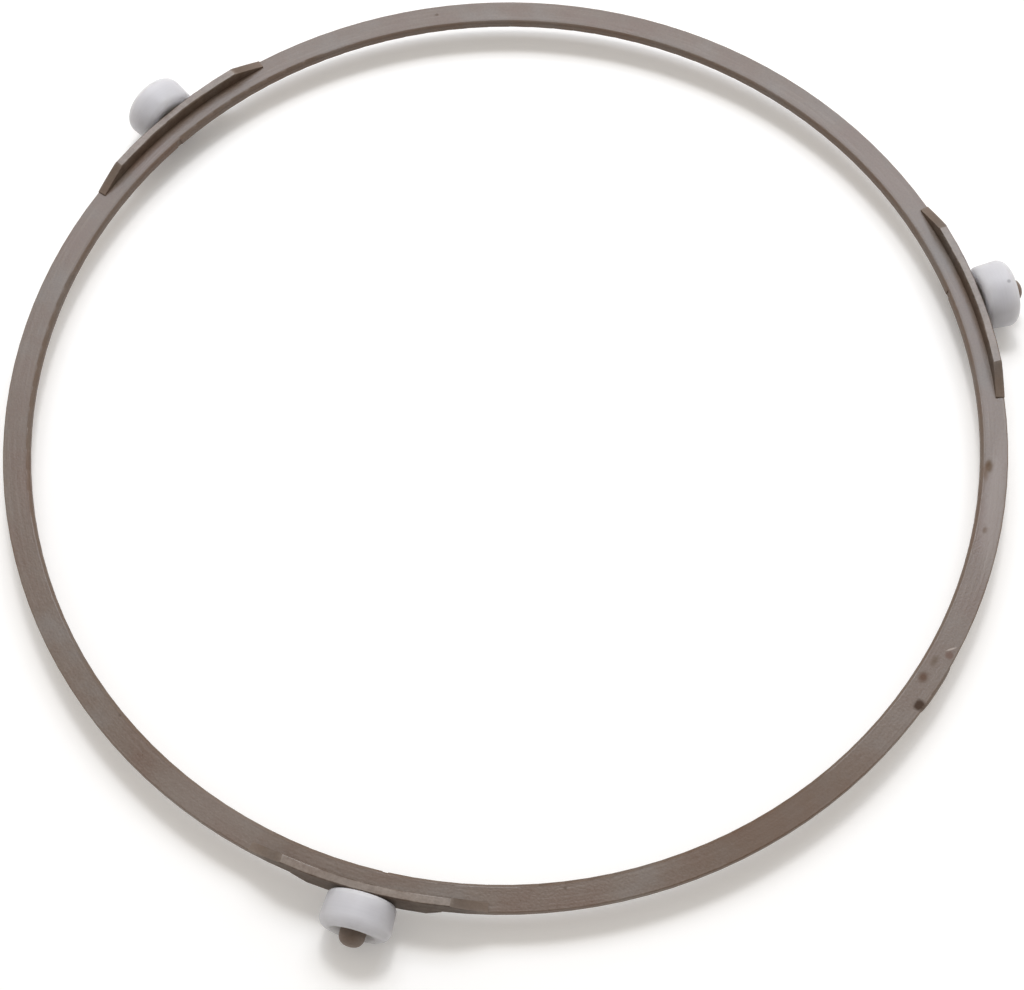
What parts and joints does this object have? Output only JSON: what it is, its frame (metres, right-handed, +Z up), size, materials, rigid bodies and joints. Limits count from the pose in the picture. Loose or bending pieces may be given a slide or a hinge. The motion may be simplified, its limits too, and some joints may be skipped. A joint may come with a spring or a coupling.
{
  "type": "microwave roller ring",
  "caption": "Flat moulded ring with outboard rollers on raised lugs, lying on a microwave oven floor to carry and guide its turning glass tray.",
  "frame": {"origin": "on the ring's axis, at the level of the floor that the rollers stand on", "axes": "+Z up along the ring's axis, -Y towards the third roller, +X to the right seen from there"},
  "size_m": [0.204, 0.2136, 0.014],
  "materials": {
    "ring_plastic": "taupe-brown heat-resistant moulded plastic, satin from the mould",
    "roller_plastic": "white moulded low-friction plastic"
  },
  "bodies": {
    "ring": {"ring": "ring_plastic"},
    "roller_1": {"roller_1": "roller_plastic"},
    "roller_2": {"roller_2": "roller_plastic"},
    "roller_3": {"roller_3": "roller_plastic"}
  },
  "joints": [
    {"name": "roller_1_spin", "type": "hinge", "parent": "ring", "child": "roller_1", "pos_m": [0.09202, 0.05312, 0.007], "axis": [0.866, 0.5, 0], "continuous": true},
    {"name": "roller_2_spin", "type": "hinge", "parent": "ring", "child": "roller_2", "pos_m": [-0.09202, 0.05312, 0.007], "axis": [-0.866, 0.5, 0], "continuous": true},
    {"name": "roller_3_spin", "type": "hinge", "parent": "ring", "child": "roller_3", "pos_m": [0, -0.10625, 0.007], "axis": [0, -1, 0], "continuous": true}
  ]
}
